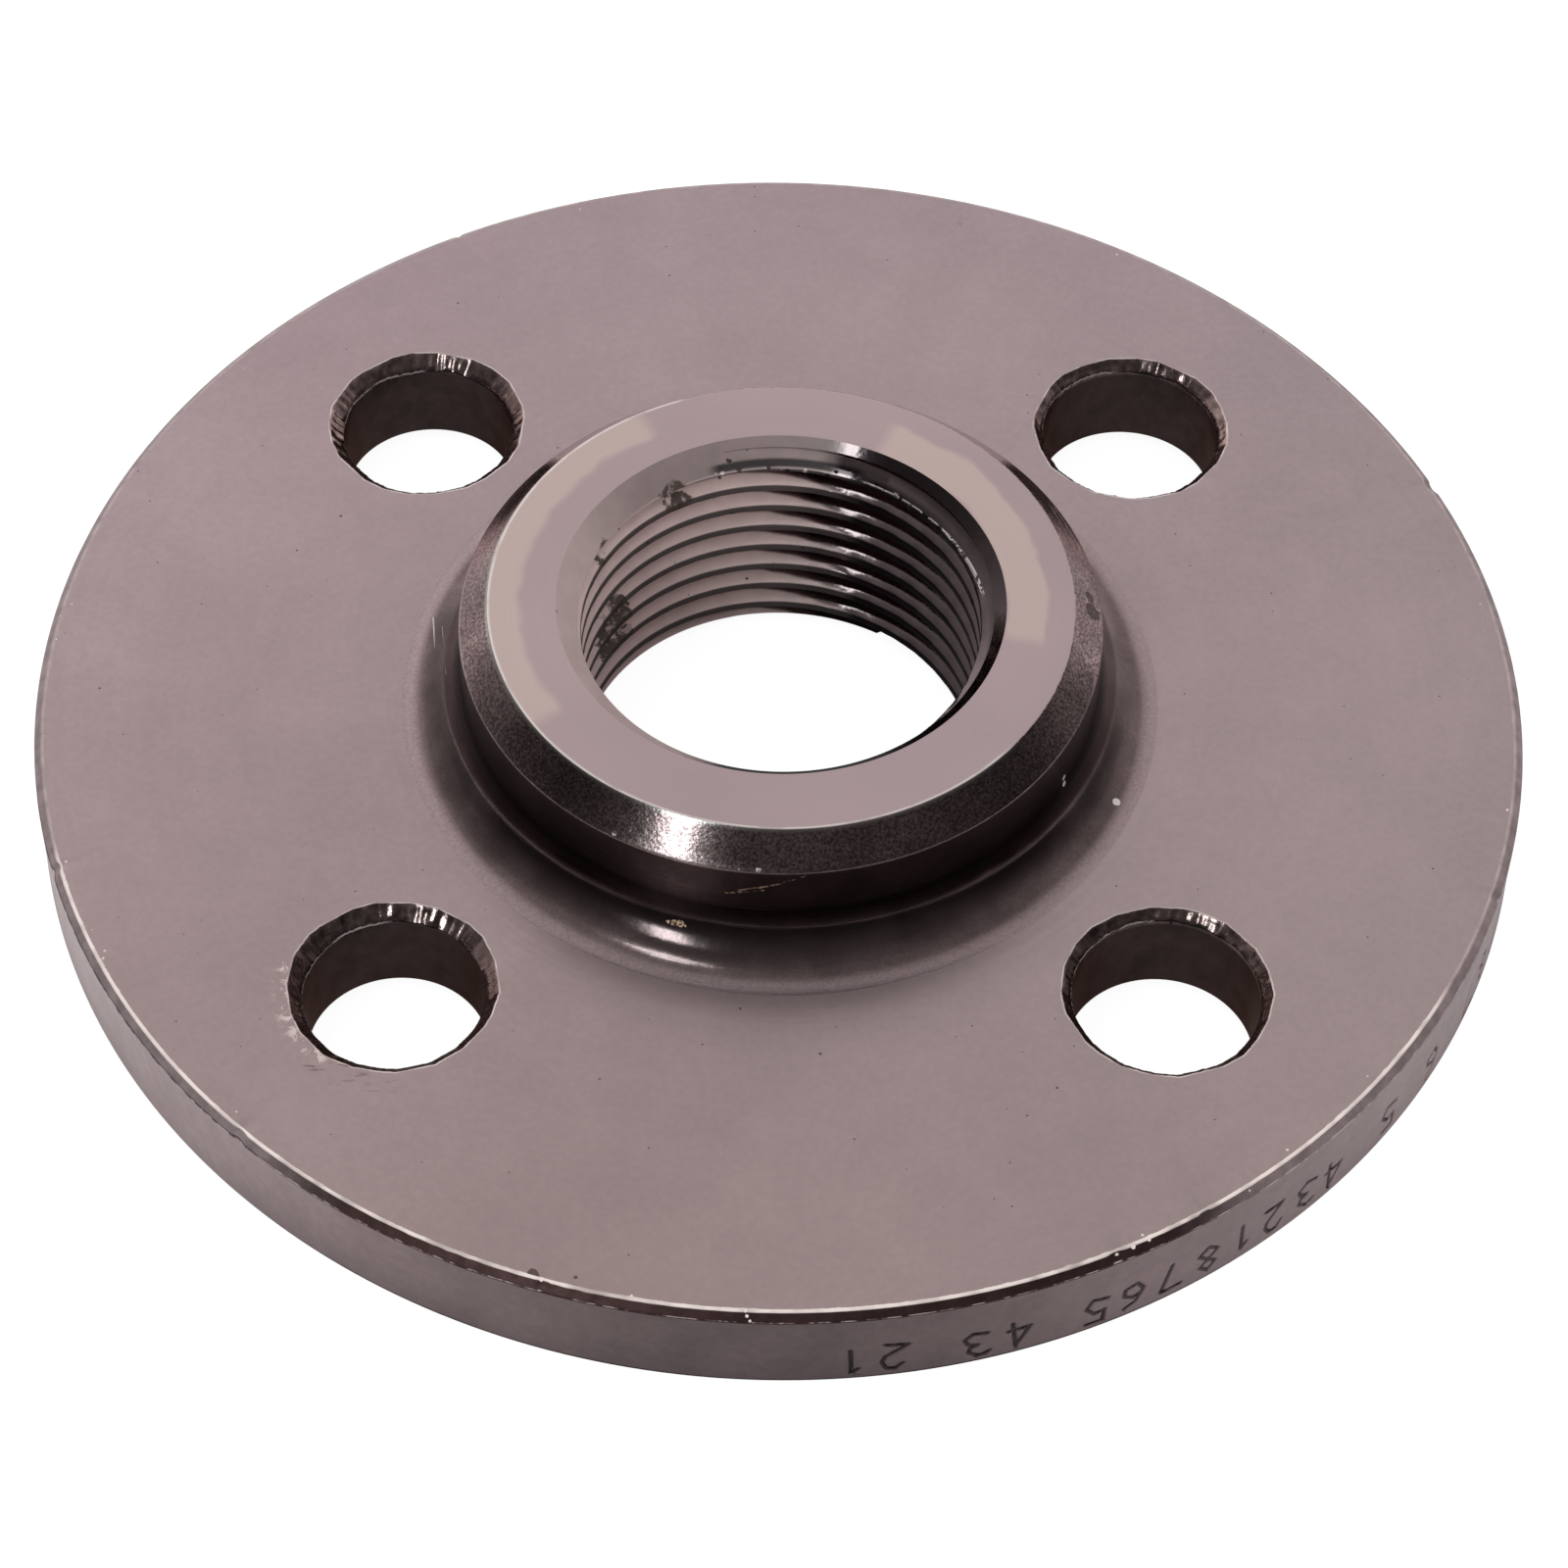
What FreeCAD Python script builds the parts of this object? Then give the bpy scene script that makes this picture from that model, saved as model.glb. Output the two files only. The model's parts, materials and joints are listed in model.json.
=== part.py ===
"""Screwed pipe flange: one turned steel piece with a threaded bore and four bolt holes.

The frame has its origin at the centre of the disc's back face, with +Z along the bore
towards the hub. Sizes are in millimetres and degrees.
"""
import FreeCAD, Part
import math
import os

import Sketcher
from FreeCAD import Placement, Rotation, Vector

NODE = "threaded_flange"

# Driving dimensions: name, value and meaning.
SIZES = [
    ("flange_dia", 116.0, "outside diameter of the disc"),
    ("flange_thick", 8.7, "thickness of the disc"),
    ("rim_chamfer", 0.6, "leg of the chamfer on the rim's two edges"),
    ("hub_height", 11.0, "height of the hub face above the disc's front face"),
    ("neck_dia", 49.5, "diameter of the hub's straight neck"),
    ("neck_fillet", 4.8, "radius of the hollow corner between neck and disc"),
    ("bevel_width", 2.25, "width of the bevel round the hub face, across the axis"),
    ("bevel_height", 2.45, "height of the same bevel, along the axis"),
    ("bolt_circle_dia", 81.5, "diameter of the circle through the bolt holes' centres"),
    ("bolt_count", 4, "number of bolt holes"),
    ("bolt_angle", 45.0, "direction of the first bolt hole from +X"),
    ("bolt_hole_dia", 14.0, "diameter of a bolt hole"),
    ("hole_chamfer_front", 0.9, "leg of the chamfer where a bolt hole meets the front face"),
    ("hole_chamfer_back", 0.6, "leg of the chamfer where a bolt hole meets the back face"),
    ("bore_dia", 30.75, "diameter of the bore, over the crests of its thread"),
    ("mouth_chamfer", 1.875, "leg of the chamfer where the bore meets the hub face"),
    ("back_mouth_chamfer", 0.625, "leg of the chamfer where the bore meets the back face"),
    ("thread_pitch", 2.309, "advance of the thread in one turn, 11 turns to the inch"),
    ("thread_depth", 1.25, "depth of the thread groove below its crests"),
    ("thread_angle", 55.0, "angle between the two flanks of a groove"),
    ("thread_root_width", 0.385, "width of the flat at the bottom of a groove"),
]

# The bore's wall is laid out in this many sectors, so that each crest face stays short.
BORE_SECTORS = 4

# How far the thread's cutting profile reaches into the open bore.
THREAD_OVERRUN = 0.3


def make_sheet(doc):
    """Put every driving dimension in a sheet cell with its name as the alias."""
    sheet = doc.addObject("Spreadsheet::Sheet", "sizes")
    for row, (alias, value, meaning) in enumerate(SIZES, start=1):
        sheet.set(f"A{row}", alias)
        sheet.set(f"B{row}", str(value))
        sheet.setAlias(f"B{row}", alias)
        sheet.set(f"C{row}", meaning)
    doc.recompute()
    return sheet


def origin_feature(body, role):
    """One of the planes and axes of the body's own origin."""
    return next(f for f in body.Origin.OriginFeatures if f.Role == role)


def make_sketch(body, name):
    """Make an empty sketch on the body's XZ plane: its x is the radius and its y the height."""
    sketch = body.newObject("Sketcher::SketchObject", name)
    sketch.AttachmentSupport = (origin_feature(body, "XZ_Plane"), [""])
    sketch.MapMode = "FlatFace"
    return sketch


def draw_outline(sketch, points):
    """Draw a closed outline of straight lines, level or upright where its ends say so."""
    count = len(points)
    for index, start in enumerate(points):
        end = points[(index + 1) % count]
        sketch.addGeometry(Part.LineSegment(Vector(*start, 0), Vector(*end, 0)), False)
        if start[1] == end[1]:
            sketch.addConstraint(Sketcher.Constraint("Horizontal", index))
        elif start[0] == end[0]:
            sketch.addConstraint(Sketcher.Constraint("Vertical", index))
    for index in range(count):
        sketch.addConstraint(Sketcher.Constraint("Coincident", index, 2, (index + 1) % count, 1))


def bind(sketch, name, kind, refs, aliases, share=1.0):
    """Add a named dimension, bound to a share of the sum of some driving dimensions."""
    sheet = sketch.Document.sizes
    value = share * sum(getattr(sheet, alias) for alias in aliases)
    total = " + ".join(f"sizes.{alias}" for alias in aliases)
    index = sketch.addConstraint(Sketcher.Constraint(kind, *refs, value))
    sketch.renameConstraint(index, name)
    sketch.setExpression(f"Constraints.{name}", f"({total}) * {share}")


def circle_edges(shape, radius, height):
    """Names of the circular edges of that radius and height round the Z axis."""
    names = []
    for number, edge in enumerate(shape.Edges, start=1):
        if not isinstance(edge.Curve, Part.Circle):
            continue
        offset = edge.Curve.Center - Vector(0, 0, height)
        if abs(edge.Curve.Radius - radius) < 1e-4 and offset.Length < 1e-4:
            names.append(f"Edge{number}")
    if not names:
        raise RuntimeError(f"no circular edge of radius {radius} at height {height}")
    return names


def dress(body, kind, name, base, edges, **formulas):
    """Add a chamfer or fillet along some edges of the base, sized by formulas on the sheet."""
    feature = body.newObject(f"PartDesign::{kind}", name)
    feature.Base = (base, edges)
    if len(formulas) > 1:
        feature.ChamferType = "Two distances"
    for size, formula in formulas.items():
        feature.setExpression(size, formula)
    body.Document.recompute()
    return feature


def pattern(body, name, original, count):
    """Repeat a feature evenly round the Z axis."""
    feature = body.newObject("PartDesign::PolarPattern", name)
    feature.Originals = [original]
    feature.Axis = (origin_feature(body, "Z_Axis"), [""])
    feature.Angle = 360
    feature.setExpression("Occurrences", count)
    feature.Refine = original.Refine
    body.Tip = feature
    body.Document.recompute()
    return feature


def check_cut(feature, before):
    """Stop if a cutting feature removed no metal from the feature before it."""
    if feature.Shape.Volume >= before.Shape.Volume:
        raise RuntimeError(f"{feature.Name} removed no metal")


def turn_blank(body, sheet):
    """Turn the disc and its hub, with the bevel, the hollow corner and the rim's chamfers."""
    rim = sheet.flange_dia / 2
    neck = sheet.neck_dia / 2
    face = sheet.flange_thick
    top = face + sheet.hub_height

    section = make_sketch(body, "blank_section")
    draw_outline(section, [(0, 0), (rim, 0), (rim, face), (neck, face), (neck, top), (0, top)])
    section.addConstraint(Sketcher.Constraint("Coincident", 0, 1, -1, 1))
    bind(section, "rim", "DistanceX", (-1, 1, 1, 1), ["flange_dia"], 0.5)
    bind(section, "neck", "DistanceX", (-1, 1, 3, 2), ["neck_dia"], 0.5)
    bind(section, "face", "DistanceY", (-1, 1, 1, 2), ["flange_thick"])
    bind(section, "hub", "DistanceY", (3, 1, 3, 2), ["hub_height"])

    blank = body.newObject("PartDesign::Revolution", "blank")
    blank.Profile = section
    blank.ReferenceAxis = (section, ["V_Axis"])
    blank.Angle = 360
    body.Document.recompute()

    bevel = dress(
        body, "Chamfer", "hub_bevel", blank, circle_edges(blank.Shape, neck, top),
        Size="sizes.bevel_height", Size2="sizes.bevel_width",
    )
    corner = dress(
        body, "Fillet", "hollow_corner", bevel, circle_edges(bevel.Shape, neck, face),
        Radius="sizes.neck_fillet",
    )
    rim_edges = circle_edges(corner.Shape, rim, 0) + circle_edges(corner.Shape, rim, face)
    return dress(body, "Chamfer", "rim_edges", corner, rim_edges, Size="sizes.rim_chamfer")


def draw_hole_section(section, sheet, axis, dia, back, front, depth):
    """Draw half of a through hole's section, with both edges broken and room above it.

    The hole's axis stands at half of the size named by axis, or on the Z axis without one.
    The other names give the hole's diameter, the legs of its chamfers, and its depth.
    """
    centre = getattr(sheet, axis) / 2 if axis else 0
    wall = centre + getattr(sheet, dia) / 2
    back_leg = getattr(sheet, back)
    front_leg = getattr(sheet, front)
    top = sum(getattr(sheet, alias) for alias in depth)
    clear = top + sheet.hub_height
    draw_outline(section, [
        (centre, 0),
        (wall + back_leg, 0),
        (wall, back_leg),
        (wall, top - front_leg),
        (wall + front_leg, top),
        (wall + front_leg, clear),
        (centre, clear),
    ])
    if axis:
        section.addConstraint(Sketcher.Constraint("PointOnObject", 0, 1, -1))
        bind(section, "reach", "DistanceX", (-1, 1, 0, 1), [axis], 0.5)
    else:
        section.addConstraint(Sketcher.Constraint("Coincident", 0, 1, -1, 1))
    bind(section, "radius", "DistanceX", (0, 1, 2, 1), [dia], 0.5)
    bind(section, "back_width", "DistanceX", (2, 1, 1, 1), [back])
    bind(section, "back_rise", "DistanceY", (1, 1, 1, 2), [back])
    bind(section, "front_width", "DistanceX", (3, 1, 3, 2), [front])
    bind(section, "front_rise", "DistanceY", (3, 1, 3, 2), [front])
    bind(section, "depth", "DistanceY", (0, 1, 4, 1), depth)
    bind(section, "clearance", "DistanceY", (4, 1, 4, 2), ["hub_height"])


def drill_bolt_holes(body, sheet, blank):
    """Drill one bolt hole with its broken edges and repeat it round the axis."""
    section = make_sketch(body, "bolt_hole_section")
    section.AttachmentOffset = Placement(Vector(), Rotation(Vector(0, 1, 0), sheet.bolt_angle))
    section.setExpression("AttachmentOffset.Rotation.Angle", "sizes.bolt_angle * 1 deg")
    draw_hole_section(
        section, sheet, "bolt_circle_dia", "bolt_hole_dia",
        "hole_chamfer_back", "hole_chamfer_front", ["flange_thick"],
    )
    hole_axis = section.addGeometry(Part.LineSegment(Vector(1, 0, 0), Vector(1, 1, 0)), True)
    section.addConstraint(Sketcher.Constraint("Coincident", hole_axis, 1, 0, 1))
    section.addConstraint(Sketcher.Constraint("Coincident", hole_axis, 2, 6, 1))

    hole = body.newObject("PartDesign::Groove", "bolt_hole")
    hole.Profile = section
    hole.ReferenceAxis = (section, ["Axis0"])
    hole.Angle = 360
    body.Document.recompute()
    check_cut(hole, blank)
    return pattern(body, "bolt_holes", hole, "sizes.bolt_count")


def bore_through(body, sheet, drilled):
    """Bore the piece through, with both mouth chamfers in one profile, sector by sector."""
    section = make_sketch(body, "bore_section")
    draw_hole_section(
        section, sheet, None, "bore_dia",
        "back_mouth_chamfer", "mouth_chamfer", ["flange_thick", "hub_height"],
    )
    sector = body.newObject("PartDesign::Groove", "bore_sector")
    sector.Profile = section
    sector.ReferenceAxis = (section, ["V_Axis"])
    sector.Angle = 360 / BORE_SECTORS
    sector.Refine = False
    body.Document.recompute()
    check_cut(sector, drilled)
    return pattern(body, "bore", sector, str(BORE_SECTORS))


def cut_thread(body, sheet, bored):
    """Wind the thread's groove right-handed through the bore and out past both faces."""
    crest = sheet.bore_dia / 2
    root = crest + sheet.thread_depth
    flat = sheet.thread_root_width / 2
    flank_angle = math.radians(sheet.thread_angle)
    mouth = flat + sheet.thread_depth * math.tan(flank_angle / 2)

    # A flat root, two flanks and a straight-sided tongue that stands in the open bore.
    section = make_sketch(body, "groove_section")
    section.setExpression("AttachmentOffset.Base.y", "-sizes.thread_pitch")
    draw_outline(section, [
        (root, -flat),
        (root, flat),
        (crest, mouth),
        (crest - THREAD_OVERRUN, mouth),
        (crest - THREAD_OVERRUN, -mouth),
        (crest, -mouth),
    ])
    section.addConstraint(Sketcher.Constraint("Symmetric", 2, 1, 4, 2, -1))
    bind(section, "crest", "DistanceX", (-1, 1, 2, 1), ["bore_dia"], 0.5)
    bind(section, "depth", "DistanceX", (2, 1, 1, 1), ["thread_depth"])
    bind(section, "flat_below", "DistanceY", (0, 1, -1, 1), ["thread_root_width"], 0.5)
    bind(section, "flat_above", "DistanceY", (-1, 1, 0, 2), ["thread_root_width"], 0.5)
    section.addConstraint(Sketcher.Constraint("DistanceX", 3, 1, 2, 1, THREAD_OVERRUN))
    flanks = section.addConstraint(Sketcher.Constraint("Angle", 1, 1, 5, 2, flank_angle))
    section.setExpression(f"Constraints[{flanks}]", "sizes.thread_angle * 1 deg")

    thread = body.newObject("PartDesign::SubtractiveHelix", "thread")
    thread.Profile = section
    thread.ReferenceAxis = (section, "V_Axis")
    thread.Mode = "pitch-height-angle"
    thread.setExpression("Pitch", "sizes.thread_pitch")
    thread.setExpression(
        "Height", "sizes.flange_thick + sizes.hub_height + 2 * sizes.thread_pitch"
    )
    thread.Refine = False
    body.Document.recompute()
    check_cut(thread, bored)


def make_flange(doc, sheet):
    """Build the flange as one body, in the order in which it is machined."""
    body = doc.addObject("PartDesign::Body", NODE)
    body.Label = NODE
    blank = turn_blank(body, sheet)
    drilled = drill_bolt_holes(body, sheet, blank)
    bored = bore_through(body, sheet, drilled)
    cut_thread(body, sheet, bored)
    return body


def check_document(doc, body):
    """Stop if a feature failed or the finished piece is not one valid solid."""
    for item in doc.Objects:
        if "Invalid" in item.State or "Error" in item.State:
            raise RuntimeError(f"{item.Name} failed: {item.State}")
    shape = body.Shape
    if shape.isNull() or not shape.isValid() or len(shape.Solids) != 1:
        raise RuntimeError(f"{body.Label} is not one valid solid")


def main():
    doc = FreeCAD.newDocument(NODE)
    sheet = make_sheet(doc)
    flange = make_flange(doc, sheet)
    doc.recompute()
    check_document(doc, flange)
    os.makedirs("parts", exist_ok=True)
    flange.Shape.exportStep(f"parts/{flange.Label}.step")
    print(flange.Label, "volume", round(flange.Shape.Volume, 1), "mm3")


main()
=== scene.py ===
"""Looks of the screwed pipe flange: its detailed mesh, steel finishes, light and camera."""

import json
import math

import bmesh
import bpy
import numpy as np
from mathutils import Matrix, Vector
from mathutils.geometry import delaunay_2d_cdt


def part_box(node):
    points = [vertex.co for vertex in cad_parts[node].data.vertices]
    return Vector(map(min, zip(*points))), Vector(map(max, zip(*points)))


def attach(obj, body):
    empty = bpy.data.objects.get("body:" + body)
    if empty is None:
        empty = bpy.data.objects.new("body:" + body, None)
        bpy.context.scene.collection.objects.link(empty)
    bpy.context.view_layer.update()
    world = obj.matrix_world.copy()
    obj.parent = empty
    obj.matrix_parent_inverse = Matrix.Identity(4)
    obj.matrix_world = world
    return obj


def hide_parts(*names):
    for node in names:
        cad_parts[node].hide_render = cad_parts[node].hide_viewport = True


NODE = "threaded_flange"
BODY = "root"

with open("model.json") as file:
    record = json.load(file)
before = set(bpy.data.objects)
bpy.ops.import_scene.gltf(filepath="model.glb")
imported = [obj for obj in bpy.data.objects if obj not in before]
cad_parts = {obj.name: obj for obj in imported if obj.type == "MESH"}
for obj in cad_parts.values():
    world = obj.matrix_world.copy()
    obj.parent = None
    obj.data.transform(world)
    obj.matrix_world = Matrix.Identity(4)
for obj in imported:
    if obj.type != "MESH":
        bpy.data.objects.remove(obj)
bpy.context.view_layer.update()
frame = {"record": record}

# The frame's sizes, in metres, and the part's drawing sizes, in millimetres.
low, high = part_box(NODE)
RIM = 58.0
MM = high.x / RIM
TOP = round(high.z / MM, 3)
mounts = {mount["name"]: mount for mount in frame["record"]["mounts"]}
CREST = mounts["pipe_thread"]["dims"]["r_mm"]
REACH = mounts["bolt_holes"]["dims"]["pcd_mm"] / 2
HOLE = mounts["bolt_holes"]["dims"]["hole_r_mm"]
HOLES = mounts["bolt_holes"]["dims"]["count"]
HUB_HEIGHT = 11.0
FACE = TOP - HUB_HEIGHT
NECK = 24.75
BEVEL_WIDTH = 2.25
BEVEL_HEIGHT = 2.45
CORNER = 4.8
RIM_CHAMFER = 0.6
MOUTH = CREST + 1.875
BACK_MOUTH = CREST + 0.625
ROOT = CREST + 1.25
PITCH = 2.309
FLANK = math.radians(27.5)
ROOT_FLAT = 0.385
HOLE_BACK = 0.6

# Radius, front chamfer's leg and depth of its cutter marks, for each bolt hole in turn.
HOLE_EDGES = [
    (HOLE + 0.15, 0.80, 0.020), (HOLE - 0.10, 1.08, 0.036),
    (HOLE - 0.18, 1.12, 0.045), (HOLE + 0.10, 0.82, 0.026),
]

# Mesh columns round the axis.
HUB_COLUMNS = 288
RIM_COLUMNS = 1200
BACK_COLUMNS = 300
HOLE_COLUMNS = 240

# Finishes, by material index.
TURNED, HUB_FACE, HOLLOW, BORE, DRILLED, HOLE_LIP, HOLE_RIM, EDGE, WALL, BACK = range(10)


def wave(angle, seed, turns):
    """A smooth random ripple round the axis, between about -1 and 1."""
    draw = np.random.default_rng(seed)
    total = np.zeros_like(angle)
    for turn in turns:
        total += draw.normal() * np.cos(turn * angle + draw.uniform(0, 2 * np.pi))
    return total / math.sqrt(len(turns))


def rounded(corners, radii, steps=3, support=0.12):
    """Round the inner corners of an open profile, with a close point on both sides of each."""
    corners = [np.array(corner, float) for corner in corners]
    points = [corners[0]]
    for index in range(1, len(corners) - 1):
        before, here, after = corners[index - 1:index + 2]
        radius = radii[index - 1]
        if not radius:
            points.append(here)
            continue
        back = (before - here) / np.linalg.norm(before - here)
        ahead = (after - here) / np.linalg.norm(after - here)
        half = math.acos(np.clip(back @ ahead, -1, 1)) / 2
        reach = radius / math.tan(half)
        start, end = here + back * reach, here + ahead * reach
        points.append(start + back * support)
        for step in range(steps + 1):
            t = step / steps
            bow = here + (1 - t) ** 2 * (start - here) + t ** 2 * (end - here)
            points.append(bow)
        points.append(end + ahead * support)
    points.append(corners[-1])
    return np.array(points)


class Shell:
    """Collects points and faces, in millimetres, for one closed mesh."""

    def __init__(self):
        self.points = []
        self.faces = []
        self.paints = []
        self.count = 0

    def add(self, points, faces, paint):
        self.points.append(np.asarray(points, float))
        for face in faces:
            self.faces.append([self.count + int(corner) for corner in face])
            self.paints.append(paint)
        self.count += len(points)

    def band(self, rows, paints):
        """Quads between closed rings of points; paints has one finish for each gap."""
        rows = np.asarray(rows, float)
        count, columns = rows.shape[:2]
        for gap in range(count - 1):
            ring = np.arange(columns)
            after = (ring + 1) % columns
            faces = np.stack([ring, after, columns + after, columns + ring], axis=1)
            self.add(rows[gap:gap + 2].reshape(-1, 3), faces, paints[gap])

    def sheet(self, loops, inner, place, paint):
        """Triangles inside the first closed line and outside the others."""
        points = []
        edges = []
        for loop in loops:
            start = len(points)
            points.extend(loop)
            ring = range(len(loop))
            edges.extend((start + i, start + (i + 1) % len(loop)) for i in ring)
        points.extend(inner)
        flat = [Vector((float(p[0]), float(p[1]))) for p in points]
        found = delaunay_2d_cdt(flat, edges, [], 0, 1e-6)
        spots = np.array([tuple(p) for p in found[0]])
        faces = np.array([list(face) for face in found[2]])
        middles = spots[faces].mean(axis=1)
        kept = inside(middles, np.asarray(loops[0], float))
        for hole in loops[1:]:
            kept &= ~inside(middles, np.asarray(hole, float))
        self.add(place(spots), faces[kept], paint)


def inside(points, loop):
    """Which points lie inside a closed line."""
    x, y = points[:, 0], points[:, 1]
    result = np.zeros(len(points), bool)
    ahead = np.roll(loop, -1, axis=0)
    for (x0, y0), (x1, y1) in zip(loop, ahead):
        if y0 == y1:
            continue
        crosses = (y0 > y) != (y1 > y)
        result ^= crosses & (x < (x1 - x0) * (y - y0) / (y1 - y0) + x0)
    return result


def turned(profile, columns, ripple=None):
    """Rings of points for a profile of (radius, height) turned round the axis."""
    angle = 2 * np.pi * np.arange(columns) / columns
    rows = []
    for radius, height in profile:
        r = np.full(columns, radius)
        z = np.full(columns, height)
        if ripple is not None:
            r, z = ripple(r, z, angle)
        rows.append(np.stack([r * np.cos(angle), r * np.sin(angle), z], axis=1))
    return rows


# Bore: the thread's section, repeated each turn, with both mouth chamfers cut into it.
def thread_section():
    """Heights and radii of one pitch of the thread, from mid crest to mid crest."""
    half_mouth = ROOT_FLAT / 2 + (ROOT - CREST) * math.tan(FLANK)
    half_root = ROOT_FLAT / 2
    rise = [
        (-PITCH / 2, CREST),
        (-half_mouth - 0.10, CREST),
        (-half_mouth - 0.02, CREST + 0.015),
        (-half_mouth + 0.045, CREST + 0.10),
        (-(half_mouth + half_root) / 2, (CREST + ROOT) / 2),
        (-half_root - 0.05, ROOT - 0.10),
        (-half_root + 0.03, ROOT - 0.012),
        (0.0, ROOT),
    ]
    fall = [(-height, radius) for height, radius in reversed(rise[1:-1])]
    return np.array(rise + fall)


def bore_surface(shell):
    """Lay the bore as a grid that climbs with the thread, and return its two end rings."""
    section = thread_section()
    per_turn = len(section)
    turns = int(TOP / PITCH) + 4
    column = np.arange(HUB_COLUMNS + 1)
    angle = 2 * np.pi * column / HUB_COLUMNS
    start = -2 * PITCH
    heights = np.concatenate([section[:, 0] + start + PITCH * turn for turn in range(turns)])
    radii = np.tile(section[:, 1], turns)
    z = heights[None, :] + PITCH * column[:, None] / HUB_COLUMNS
    thread = np.broadcast_to(radii, z.shape).copy()

    # Burrs and torn spots along the crests.
    crest = thread < CREST + 0.02
    turn_angle = angle[:, None] + 2 * np.pi * (np.arange(z.shape[1]) // per_turn)[None, :]
    tear = np.zeros_like(z)
    for k, (turns_per, share) in enumerate([(37, 0.5), (83, 0.35), (11.3, 0.4)]):
        tear += share * np.sin(turns_per * turn_angle + 1.7 * k + 3 * np.sin(2.3 * turn_angle))
    thread += np.where(crest, 0.02 * np.clip(tear, -1, 1), 0)

    def mouths(height):
        """Radius of the two mouth chamfers, which wins over the thread's where it is larger."""
        return np.maximum(MOUTH - (TOP - height), BACK_MOUTH - height)

    cone = mouths(z)
    kept = np.ones(z.shape, bool)
    crease = np.zeros(z.shape, bool)
    for i in range(HUB_COLUMNS):
        for end, sign in ((TOP, 1), (0.0, -1)):
            nearest = int(np.argmin(np.abs(z[i] - end)))
            z[i, nearest] = end
            crease[i, nearest] = True
            if sign > 0:
                kept[i, nearest + 1:] = False
            else:
                kept[i, :nearest] = False
        cone[i] = mouths(z[i])
        gap = thread[i] - cone[i]
        for j in range(z.shape[1] - 1):
            if not (kept[i, j] and kept[i, j + 1]) or gap[j] * gap[j + 1] >= 0:
                continue
            t = gap[j] / (gap[j] - gap[j + 1])
            near = j if t < 0.5 else j + 1
            if crease[i, near]:
                near = j + 1 if near == j else j
            if crease[i, near]:
                continue
            z_cross = z[i, j] + t * (z[i, j + 1] - z[i, j])
            r_cross = thread[i, j] + t * (thread[i, j + 1] - thread[i, j])
            z[i, near], crease[i, near] = z_cross, True
            thread[i, near] = cone[i, near] = r_cross
    radius = np.maximum(thread, cone)

    # Close the grid: the last column is the first one, a turn further up.
    def close(grid):
        grid[HUB_COLUMNS, :-per_turn] = grid[0, per_turn:]
        return grid

    z, radius, kept, crease = close(z), close(radius), close(kept), close(crease)
    kept[HUB_COLUMNS, -per_turn:] = False
    points = np.stack(
        [radius * np.cos(angle)[:, None], radius * np.sin(angle)[:, None], z], axis=2
    )
    rows = z.shape[1]
    faces = []
    for i in range(HUB_COLUMNS):
        for j in range(rows - 1):
            corners = [(i, j), (i + 1, j), (i + 1, j + 1), (i, j + 1)]
            if not (kept[i, j:j + 2].any() and kept[i + 1, j:j + 2].any()):
                continue
            marks = [crease[corner] for corner in corners]
            if marks[0] and marks[2]:
                pieces = [(0, 1, 2), (0, 2, 3)]
            elif (marks[1] and marks[3]) or not all(kept[corner] for corner in corners):
                pieces = [(0, 1, 3), (1, 2, 3)]
            else:
                pieces = [(0, 1, 2, 3)]
            for piece in pieces:
                spots = [corners[k] for k in piece]
                if all(kept[spot] for spot in spots):
                    faces.append([column * rows + row for column, row in spots])
    used = np.unique([corner for face in faces for corner in face])
    lookup = np.full(points.shape[0] * rows, -1)
    lookup[used] = np.arange(len(used))
    flat = points.reshape(-1, 3)
    shell.add(flat[used], [[lookup[c] for c in face] for face in faces], BORE)

    ends = []
    for end in (0.0, TOP):
        ring = []
        for i in range(HUB_COLUMNS):
            j = int(np.argmin(np.abs(z[i] - end)))
            ring.append(points[i, j])
        ends.append(np.array(ring))
    return ends


def hub_surface(shell, mouth_ring):
    """Hub face, bevel, neck and hollow corner, down to where the corner meets the disc."""
    corner_foot = NECK + CORNER
    outline = [
        (MOUTH, TOP),
        (NECK - BEVEL_WIDTH, TOP),
        (NECK, TOP - BEVEL_HEIGHT),
        (NECK, FACE + CORNER),
    ]
    profile = list(rounded(outline, [0.10, 0.16]))
    profile.insert(1, np.array([MOUTH + 0.06, TOP]))
    steps = 14
    for step in range(1, steps + 1):
        turn = math.pi / 2 * step / steps
        profile.append(np.array([
            corner_foot - CORNER * math.cos(turn),
            FACE + CORNER * (1 - math.sin(turn)),
        ]))
    profile.append(np.array([corner_foot + 0.15, FACE]))
    rows = turned(profile, HUB_COLUMNS)
    rows[0] = mouth_ring
    paints = []
    for before, after in zip(profile, profile[1:]):
        flat_top = before[1] > TOP - 1e-6 and after[1] > TOP - 1e-6
        paints.append(HUB_FACE if flat_top else HOLLOW)
    paints[-1] = TURNED
    shell.band(rows, paints)
    return rows[-1]


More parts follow.
